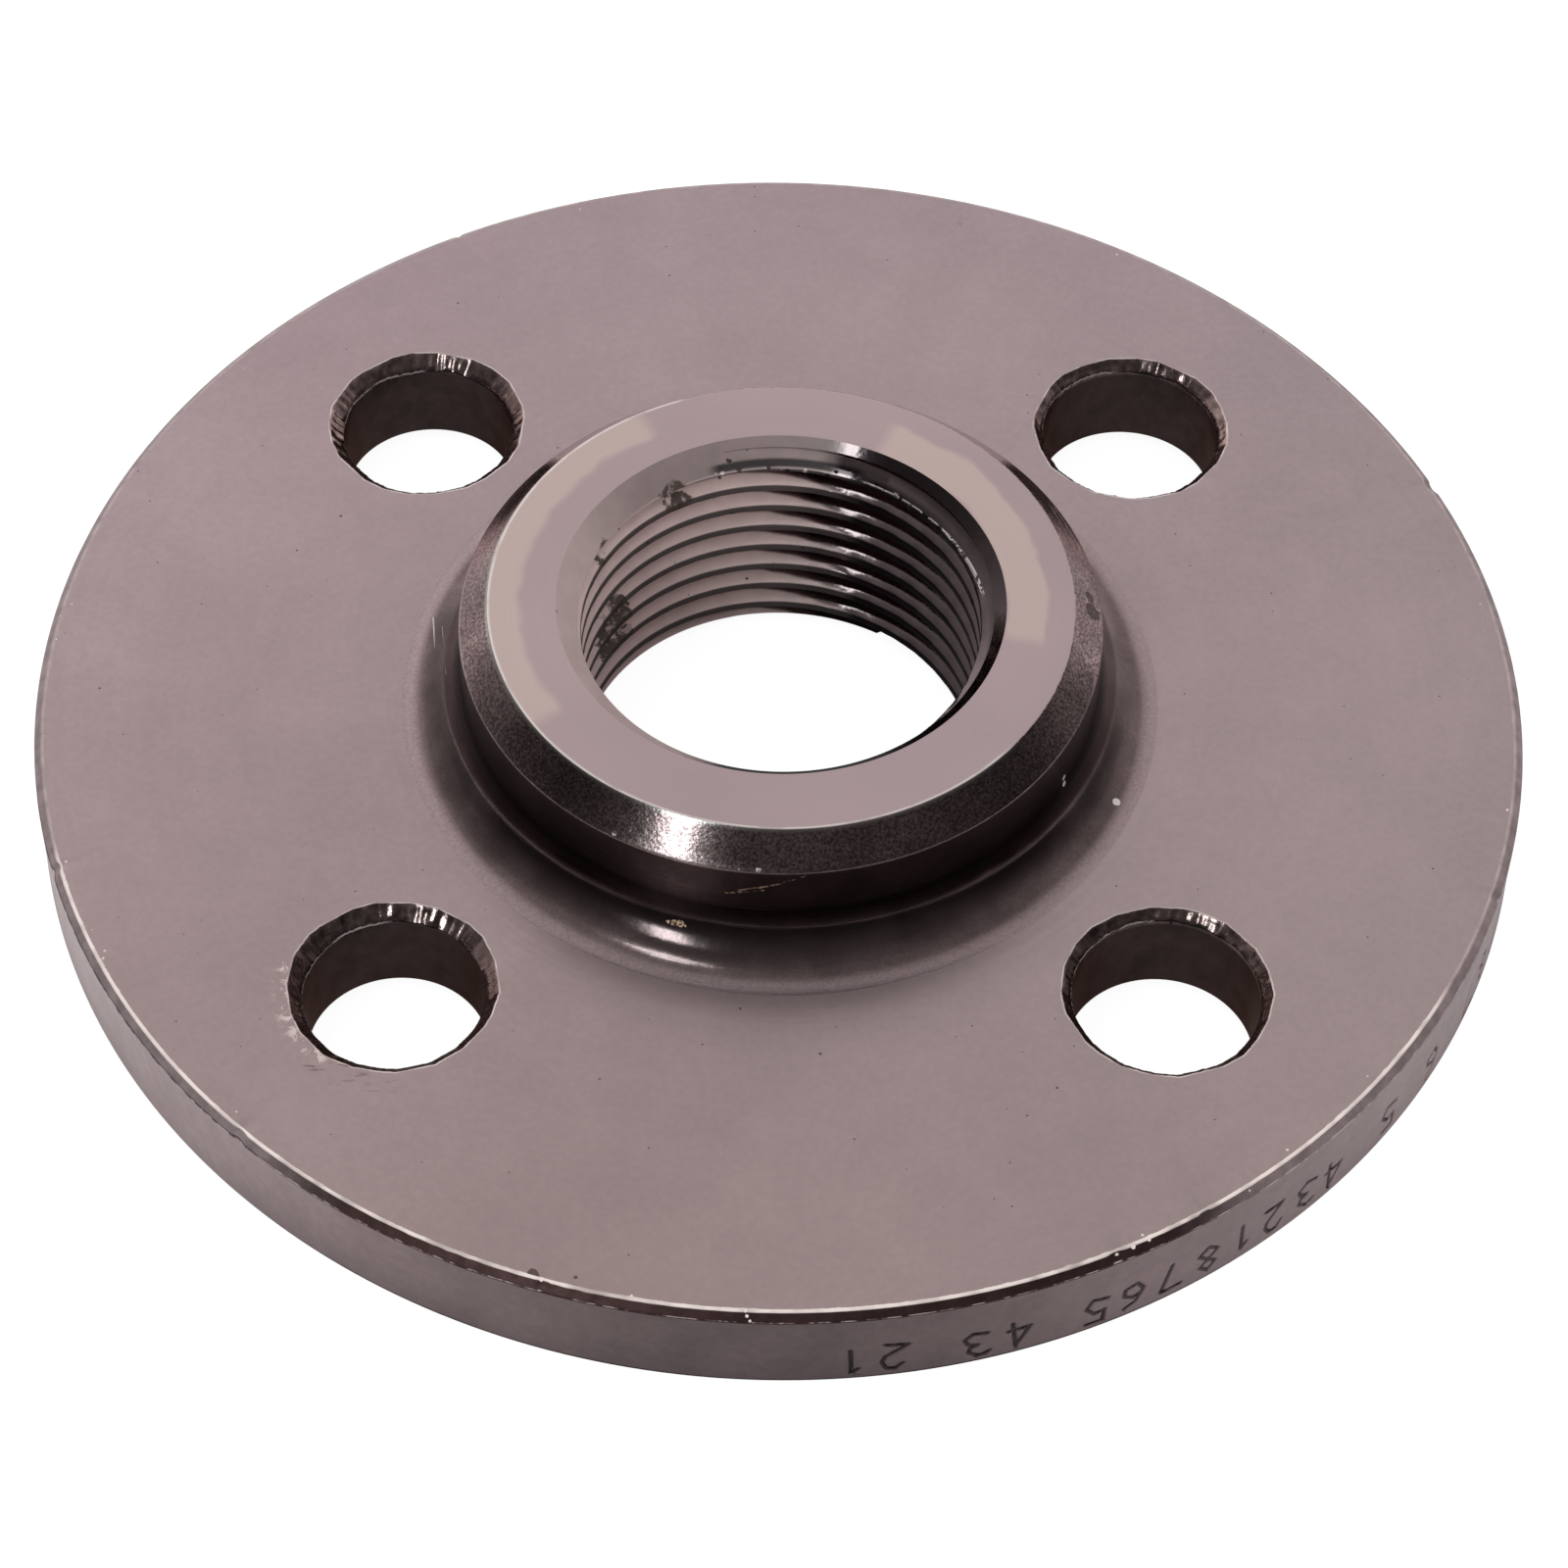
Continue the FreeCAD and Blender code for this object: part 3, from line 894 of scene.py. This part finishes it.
def hub_face(paint):
    # Two pale crescents, one left and one right.
    wide = paint.r + (paint.noise(0.18) - 0.5) * 2.6
    left_arc = paint.sector(167, 47) * wide.ramp(19.6, 20.4)
    right_arc = paint.sector(26, 38) * (wide.ramp(17.0, 17.6) * wide.ramp(21.0, 20.4))
    cloud = paint.noise(0.05).ramp(0.3, 0.7, 0.96, 1.04)
    # A painted highlight along the face's outer edge, to the left and the front.
    edge = paint.r.ramp(NECK - BEVEL_WIDTH - 0.26, NECK - BEVEL_WIDTH - 0.12)
    edge = edge * paint.sector(-145, 105) * paint.noise(0.5).ramp(0.35, 0.5, 0.35, 1.0)
    colour = paint.marked(
        paint.tone(MAUVE, cloud * 1.13), (left_arc | right_arc, 0.72, BEIGE), (edge, 0.8, BRIGHT)
    )
    rings = paint.rings(3.0)
    rough = rings.ramp(0.2, 0.8, 0.26, 0.33)
    return paint.finish(colour, rough, [(rings, 0.0015), (paint.noise(0.2), 0.01)], 0.85)


def hollow(paint):
    z = paint.z
    rings, fine = paint.rings(2.2), paint.rings(6.5)
    on_bevel = z.ramp(TOP - 2.7, TOP - 2.3)
    toe = z.ramp(FACE + 0.30, FACE + 0.02)
    cloud = paint.noise(0.22, 3.0, 0.6).ramp(0.3, 0.7, 0.8, 1.2)
    cloud = 1.0 + (cloud - 1.0) * (1.0 - toe)
    grain = 1.0 + paint.noise(4.5).ramp(0.3, 0.7, -0.1, 0.1) * (1.0 + on_bevel * 4.0)
    # The oil's coat is dark on the neck, and thins out on the bevel and towards the toe; part of
    # the dark of the neck and the hollow corner is painted shade, and the dip near FACE + 3.4 is
    # painted shade.
    coat_and_shade = 0.15 + on_bevel * 0.75
    coat_and_shade = coat_and_shade + z.ramp(FACE + 4.2, FACE + 1.5, 0.0, 0.24)
    coat_and_shade = coat_and_shade + z.ramp(FACE + 0.28, FACE, 0.0, 0.52)
    coat_and_shade = coat_and_shade - z.strip(FACE + 3.4, 1.5) * 0.11
    colour = paint.tone(paint.mix(toe, DARKENED, MAUVE), coat_and_shade * (cloud * grain))

    foot = TOP - BEVEL_HEIGHT
    # Painted highlights: a line along the bevel's top edge and a fainter one along its foot.
    upper = z.ramp(TOP - 0.3, TOP - 0.05) * paint.sector(-145, 105)
    lower = z.strip(foot, 0.12) * paint.sector(-100, 70)
    burr = z.strip(foot, 0.16) * paint.sector(180, 13)
    # Pits along the bevel's foot, dented, and painted bright as glints.
    pitted = z.strip(foot + 0.45, 0.5) * (paint.sector(-120.5, 8) | paint.sector(-99.5, 6))
    pits = pitted * paint.specks(1.5, 0.22, 3.0)
    round_neck = paint.vector(paint.angle * NECK, z, 0.0)
    dots = paint.blots(HUB_DOTS, 0.3) | paint.strokes(TOE_SCRATCHES)
    scraped = paint.strokes(NECK_SCRATCHES, round_neck) * paint.noise(2.5).ramp(0.35, 0.6)
    rusty = paint.blots(HUB_CHIPS, 2.2) * paint.noise(6.0).ramp(0.35, 0.6)
    stains = paint.blots(HUB_STAINS) | paint.strokes(NECK_CUTS, round_neck)
    colour = paint.marked(
        colour, (rings.ramp(0.62, 0.75), 0.08, MAUVE), (upper, 0.7, BRIGHT), (lower, 0.3, BRIGHT),
        (burr, 0.7, BRIGHT), (pits, 0.9, BRIGHT), (dots, 0.8, BRIGHT), (scraped, 0.35, RUSTY),
        (rusty, 0.9, RUSTY), (stains, 0.8, BROWN),
    )
    marks = dots | scraped | rusty
    rough = fine.ramp(0.2, 0.8, 0.10, 0.18) + z.strip(TOP - 5.2, 3.6) * 0.20
    rough = marks.ramp(0.0, 1.0, rough + toe * 0.14, 0.5)
    metal = 1.0 - marks * 0.6 - z.ramp(FACE + 3.0, FACE + 1.0, 0.0, 0.05)
    return paint.finish(colour, rough, [
        (rings, 0.012), (fine, 0.005), (paint.noise(0.9, 3.0), 0.010),
        (paint.noise(5.0) * (0.2 + on_bevel), 0.006), (pits, -0.15), (stains, -0.06), (marks, 0.05),
    ], metal)


def bore(paint):
    # An old film of oil has dried pale and matte over the left half, which is painted pale as lit,
    # and the right half is painted dark as shade.
    z = paint.z
    on_mouth = z.ramp(TOP - 1.9, TOP - 1.7)
    off_mouth = 1.0 - on_mouth
    # The pale reaches further round at the root than at the crest, so a painted shadow of the ridge
    # above grows into each groove towards the right.
    limit = 1.16 + (paint.r - CREST) * off_mouth * 0.46 + on_mouth * 0.14
    wander = (paint.noise(0.3) - 0.5) * 0.2
    # The turn from the front (-90 degrees) over the right to the back and the left.
    quarter = math.pi / 2
    turn = paint.math("MODULO", paint.angle + 5 * quarter, 4 * quarter) - quarter
    turned = turn + wander
    film = (turned - limit).ramp(-0.05, 0.12) * (turned + wander).ramp(4.60, 4.10)
    cloud = paint.noise(0.5, 3.0, 0.6).ramp(0.3, 0.7, 0.94, 1.05)
    # On the mouth the pale is painted darker towards the back, as shade.
    pale = paint.tone(PALE_LIT_FILM, cloud * (1.0 - on_mouth * turn.ramp(2.9, 2.2, 0.28, 0.58)))
    dark = paint.tone(MAUVE, cloud * (0.42 - on_mouth * 0.10))

    crest = paint.r.ramp(CREST + 0.10, CREST + 0.02) * z.ramp(TOP - 1.7, TOP - 1.9)
    patchy = paint.noise(1.3, 3.0, 0.6).ramp(0.38, 0.50, 0.35, 0.95)
    dots = paint.blots(BORE_DOTS, 0.3) | paint.specks(0.9, 0.13, 7.0) * film
    # A painted shadow in the groove at the thread's blunt start.
    start = z.strip(TOP - 1.5, 0.33) * paint.sector(88, 22)
    burr = z.strip(TOP - 1.85, 0.10) * paint.sector(37, 28) * paint.noise(1.6).ramp(0.40, 0.52)
    torn = z.strip(TOP - 1.95, 0.34) * paint.sector(115, 67) | paint.blots(BORE_SPARKS)
    holes = torn * paint.specks(1.3, 0.26, 4.0)
    bright = burr | torn * paint.specks(1.7, 0.22, 1.0)
    colour = paint.marked(
        paint.mix(film, dark, pale), (crest, 0.85, SOOT),
        (paint.blots(BORE_BLOTS, 1.6), patchy, BROWN), (dots, 0.9, SOOT), (start, 0.9, SOOT),
        (holes, 0.9, SOOT), (bright, 0.85, BRIGHT),
    )
    # Where the film thins out to the right it is glossy.
    thin = turn.ramp(1.55, 1.35) * off_mouth
    rough = 0.10 + film * (0.40 - thin * 0.32)
    metal = 1.0 - film * (0.75 - thin * 0.35)
    return paint.finish(colour, rough, [
        (paint.noise(2.2, 3.0), 0.008), (paint.noise(0.5), 0.01), (bright, 0.06), (holes, -0.06),
    ], metal)


def drilled(paint):
    around, _ = paint.about_hole()

    def facing(degrees, start):
        """Mask of the side that lies in a direction from the hole's axis."""
        return paint.math("COSINE", around + math.radians(-degrees)).ramp(start, 1.0)

    cloud = paint.noise(0.8, 4.0, 0.65).ramp(0.3, 0.7, 0.88, 1.1)
    chamfer = paint.z.ramp(FACE - 1.3, FACE - 0.9)
    blotched_and_lit = paint.noise(1.2, 3.0, 0.65).ramp(0.35, 0.65, 0.5, 1.0)
    # The chamfer is painted lighter on its right and left sides, as lit there.
    blotched_and_lit = blotched_and_lit + (facing(5, 0.55) * 0.9 + facing(185, 0.6) * 0.5)
    # The wall is painted lighter on its front right side, as lit there.
    level = 0.36 + facing(-35, 0.5) * 0.34
    level = level + chamfer * (blotched_and_lit - level)
    rust = paint.noise(0.45, 3.0).ramp(0.45, 0.68) * 0.3
    tan = paint.sector(-45, 60) * (paint.sector(190, 40, around) * chamfer)
    colour = paint.mix(rust | tan * 0.6, paint.tone(WARM, cloud * level), BROWN)
    return paint.finish(colour, chamfer.ramp(0.0, 1.0, 0.30, 0.17), [
        (paint.noise(1.6, 3.0), 0.012), (paint.noise(6.0), 0.008),
    ], 0.97, HOLE_SHEEN)


def hole_lip(paint):
    around, _ = paint.about_hole()
    lit = paint.sector(180, 85, around) * paint.noise(0.9).ramp(0.35, 0.5, 0.3, 0.9)
    return paint.finish(paint.mix(lit, SOOT, BRIGHT), 0.35, [(paint.noise(3.0), 0.02)], 0.7)


def hole_rim(paint):
    # A patchy painted highlight round the chamfer's outer edge, with some wear in it.
    worn = paint.noise(0.6, 3.0).ramp(0.35, 0.6, 0.1, 0.7)
    return paint.finish(paint.mix(worn, MAUVE, BRIGHT), 0.35, [], 0.7)


def edge(paint):
    z = paint.z
    cloud = paint.noise(0.7, 3.0, 0.6).ramp(0.3, 0.7, 0.75, 1.1)
    # The film is thick and brown to the front, and thin to the sides and the back.
    thick = abs(paint.angle + math.radians(92)).ramp(0.72, 0.52)
    colour = paint.mix(thick, paint.tone(MAUVE, cloud), paint.tone(OXIDE, cloud))
    line = z.strip(FACE - RIM_CHAMFER, 0.1) * paint.sector(-150, 20)
    # The top of the chamfer: a painted highlight, with some wear in it.
    worn = paint.rim_highlight_and_wear(z.ramp(FACE - 0.12, FACE - 0.06))
    lower = z.strip(FACE - RIM_CHAMFER - 0.03, 0.07)
    lower = lower * paint.noise(1.2, 3.0).ramp(0.42, 0.6, 0.0, 0.6)
    bright = worn | paint.blots(EDGE_CHIPS, 1.8) | lower
    colour = paint.marked(colour, (line, 0.8, SOOT), (bright, 0.95, CREAM))
    metal = (1.0 - bright) * thick.ramp(0.0, 1.0, 0.6, 0.85)
    return paint.finish(colour, 0.45, [(paint.noise(2.5, 3.0), 0.015)], metal)


def wall(paint):
    cloud = paint.noise(0.12, 4.0, 0.6).ramp(0.3, 0.7, 0.9, 1.08)
    spots = paint.noise(1.1, 3.0, 0.65).ramp(0.3, 0.7, 0.94, 1.05)
    colour = paint.tone(MAUVE, cloud * spots * 1.08)
    # The stamped digits are painted in shade at their bottom.
    colour = paint.mix(paint.r.ramp(RIM - 0.05, RIM - 0.16, 0.0, 0.75), colour, SOOT)
    turning = paint.vector(paint.z * 5.0, paint.angle * 1.5, 0.0)
    lines = paint.noise(1.0, 3.0, 0.6, spot=turning)
    rough = lines.ramp(0.2, 0.8, 0.32, 0.42)
    return paint.finish(colour, rough, [(lines, 0.005), (paint.noise(1.5, 3.0), 0.010)])


def back_face(paint):
    colour = paint.tone(MAUVE, paint.noise(0.05, 3.0).ramp(0.3, 0.7, 0.9, 1.08))
    rings = paint.rings(2.2)
    rough = rings.ramp(0.2, 0.8, 0.30, 0.42)
    return paint.finish(colour, rough, [(rings, 0.008), (paint.noise(1.0, 3.0), 0.006)])


flange = build_flange()
# In the order of the finishes' numbers.
for make in (
    turned_face, hub_face, hollow, bore, drilled, hole_lip, hole_rim, edge, wall, back_face
):
    flange.data.materials.append(make(Paint(make.__name__)))
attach(flange, BODY)
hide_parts(NODE)


# Stage: floor, background and light.
FLOOR_SIZE = 3.0
FLOOR_GLOW = 0.92
FLOOR_COLOUR = (0.26, 0.26, 0.26, 1.0)
FLOOR_GAP = 0.0004
CLOTH_GAP = 0.0002


def seen_directly(nodes):
    """1 for rays that show the background: from the camera, in gloss and through glass."""
    path = nodes.node("ShaderNodeLightPath")
    kinds = ("Is Camera Ray", "Is Glossy Ray", "Is Transmission Ray")
    camera, gloss, glass = [Value(nodes, path.outputs[kind]) for kind in kinds]
    return camera | gloss | glass


def floor_shader(nodes):
    shade = nodes.value("ShaderNodeBsdfDiffuse", {"Color": FLOOR_COLOUR})
    glow = nodes.value("ShaderNodeEmission", {"Strength": seen_directly(nodes) * FLOOR_GLOW})
    return nodes.value("ShaderNodeAddShader", {0: shade, 1: glow})


def stage_piece(name, mesh, shader, height=0.0):
    """Put a mesh on the stage, with its own material, which isn't sampled as a lamp."""
    material = bpy.data.materials.new(name)
    material.cycles.emission_sampling = "NONE"
    nodes = Nodes(material)
    nodes.node("ShaderNodeOutputMaterial", {0: shader(nodes)})
    mesh.materials.append(material)
    piece = bpy.data.objects.new(name, mesh)
    piece.location.z = height
    bpy.context.scene.collection.objects.link(piece)
    return piece


def flat_square(name, half, height, shader):
    """A level square of the stage."""
    mesh = bpy.data.meshes.new(name)
    corners = [(-half, -half, 0), (half, -half, 0), (half, half, 0), (-half, half, 0)]
    mesh.from_pydata(corners, [], [(0, 1, 2, 3)])
    return stage_piece(name, mesh, shader, height)


def only_in_gloss(piece):
    """Hide a stage piece from everything but the part's reflections."""
    for kind in ("camera", "diffuse", "transmission", "shadow", "volume_scatter"):
        setattr(piece, "visible_" + kind, False)


# Grey cloths round and under the part, seen only in its gloss, and palest behind it.
CLOTH_REACH = 1.4
# Level of the dome by the angle in degrees from the back horizon over the top to the front.
CLOTH_LEVELS = [
    (0, 0.90), (20, 0.78), (35, 0.70), (44, 0.80), (50, 0.72), (57, 0.60), (64, 0.53),
    (72, 0.46), (90, 0.34), (110, 0.19), (130, 0.09), (155, 0.045), (180, 0.04)
]
# Share of that level by the sideways part of the direction, from left to right.
CLOTH_SIDES = [
    (-1, 0.16), (-0.93, 0.20), (-0.85, 0.38), (-0.75, 0.48), (-0.62, 0.66), (-0.5, 1.10),
    (-0.3, 1.30), (-0.15, 1.08), (0, 1.00), (0.15, 0.96), (0.3, 0.93), (0.5, 0.85),
    (0.62, 0.85), (0.7, 0.75), (0.76, 0.66), (0.85, 0.34), (0.93, 0.18), (1, 0.12)
]
# Level of the floor cloth by the distance from the axis in metres; it is darkest under the part,
# where the part's shadow on the floor is painted.
FLOOR_CLOTH = 0.5
UNDER_LEVELS = [
    (0, 0.05), (0.0555, 0.10), (0.061, 0.22), (0.08, 0.17), (0.3, 0.13), (FLOOR_CLOTH, 0.13)
]
# Share of that level by the distance to the left or right, brighter to both sides.
UNDER_GAIN = 5.0
UNDER_SIDES = [
    (-FLOOR_CLOTH, 0.50), (-0.1, 0.55), (-0.068, 0.90), (-0.05, 0.62), (-0.03, 0.34),
    (-0.008, 0.20), (0.008, 0.20), (0.03, 0.34), (0.055, 0.52), (FLOOR_CLOTH, 0.52)
]


def dome_shader(nodes):
    way = nodes.vectors("NORMALIZE", nodes.value("ShaderNodeTexCoord", output="Object"))
    across, ahead, up = nodes.parts(way)
    over = nodes.math("ARCTAN2", up, ahead)
    return nodes.value("ShaderNodeEmission", {
        "Color": nodes.graded(over, CLOTH_LEVELS, math.degrees(1)),
        "Strength": nodes.graded(across, CLOTH_SIDES),
    })


def floor_shadow_cloth_shader(nodes):
    spot = nodes.value("ShaderNodeTexCoord", output="Object")
    across = nodes.parts(spot)[0]
    return nodes.value("ShaderNodeEmission", {
        "Color": nodes.graded(nodes.vectors("LENGTH", spot), UNDER_LEVELS),
        "Strength": nodes.graded(across, UNDER_SIDES) * UNDER_GAIN,
    })


flat_square("floor", FLOOR_SIZE / 2, low.z - FLOOR_GAP, floor_shader)
dome_mesh = bpy.data.meshes.new("cloths")
edit = bmesh.new()
bmesh.ops.create_uvsphere(edit, u_segments=64, v_segments=32, radius=CLOTH_REACH)
edit.to_mesh(dome_mesh)
edit.free()
only_in_gloss(stage_piece("cloths", dome_mesh, dome_shader))
# The floor cloth carries the part's shadow, painted, and shows only in its gloss.
only_in_gloss(flat_square("floor_shadow_cloth", FLOOR_CLOTH, low.z - CLOTH_GAP, floor_shadow_cloth_shader))

# White sky: full for the rays that show the background, softer as light.
SKY_LIGHT = 0.8
SKY_SEEN = 1.0
world = bpy.data.worlds.new("studio")
bpy.context.scene.world = world
sky = Nodes(world)
sky_level = sky.value("ShaderNodeMapRange", {0: seen_directly(sky), 3: SKY_LIGHT, 4: SKY_SEEN})
backdrop = sky.value(
    "ShaderNodeBackground", {"Color": (1, 1, 1, 1), "Strength": sky_level}
)
sky.node("ShaderNodeOutputWorld", {0: backdrop})

# Two lamps in front and to the left, as (name, azimuth, elevation, width, height, radiance).
LAMP_REACH = 0.9
LAMP_COLOUR = (0.86, 1.0, 1.0)
LAMPS = [
    ("front_lamp", -123.5, 38.5, 7.5, 17.0, 8.0), ("top_lamp", -149.0, 72.5, 8.0, 9.0, 6.0)
]


def hang_lamp(name, azimuth, elevation, wide, tall, radiance):
    """Hang a lamp; its angles are in degrees as seen from the part."""
    data = bpy.data.lights.new(name, "AREA")
    data.shape = "RECTANGLE"
    data.size = 2 * LAMP_REACH * math.tan(math.radians(wide / 2))
    data.size_y = 2 * LAMP_REACH * math.tan(math.radians(tall / 2))
    data.color = LAMP_COLOUR
    data.energy = radiance * math.pi * data.size * data.size_y
    lamp = bpy.data.objects.new(name, data)
    turn, height = math.radians(azimuth), math.radians(elevation)
    way = Vector((
        math.cos(height) * math.cos(turn), math.cos(height) * math.sin(turn), math.sin(height)
    ))
    lamp.location = way * LAMP_REACH
    lamp.rotation_euler = way.to_track_quat("Z", "Y").to_euler()
    bpy.context.scene.collection.objects.link(lamp)


for lamp_row in LAMPS:
    hang_lamp(*lamp_row)

# Camera, as fitted to the photograph: its side in pixels, focal length and where it stands.
PHOTO_SIDE = 1600
FOCAL = 4954.757
CAMERA_REACH = 379.7
CAMERA_ELEVATION = math.radians(49.605)
CAMERA_AZIMUTH = math.radians(-0.881)
CAMERA_ROLL = math.radians(1.034)
CENTRE_SHIFT = (-6.084, -92.786)


def place_camera():
    """Stand the camera where it was fitted, aimed off the part's centre by the shift."""
    away = Vector((0, -math.cos(CAMERA_ELEVATION), math.sin(CAMERA_ELEVATION)))
    right = Vector((1, 0, 0))
    up = away.cross(right)
    turn = Matrix.Rotation(CAMERA_AZIMUTH, 3, "Z")
    axes = turn @ Matrix((right, up, away)).transposed()
    aim = Vector((CENTRE_SHIFT[0], -CENTRE_SHIFT[1], -FOCAL)).normalized()
    tip = Vector((0, 0, -1)).rotation_difference(aim).to_matrix()
    turned_axes = axes @ tip.transposed() @ Matrix.Rotation(CAMERA_ROLL, 3, "Z")
    spot = turn @ away * (CAMERA_REACH * MM) + Vector((0, 0, FACE * MM))
    data = bpy.data.cameras.new("camera")
    data.sensor_width = 36.0
    data.lens = FOCAL / PHOTO_SIDE * data.sensor_width
    data.clip_start, data.clip_end = 0.01, 20
    camera = bpy.data.objects.new("camera", data)
    camera.matrix_world = Matrix.Translation(spot) @ turned_axes.to_4x4()
    bpy.context.scene.collection.objects.link(camera)
    bpy.context.scene.camera = camera


place_camera()
bpy.context.scene.view_settings.view_transform = "Standard"
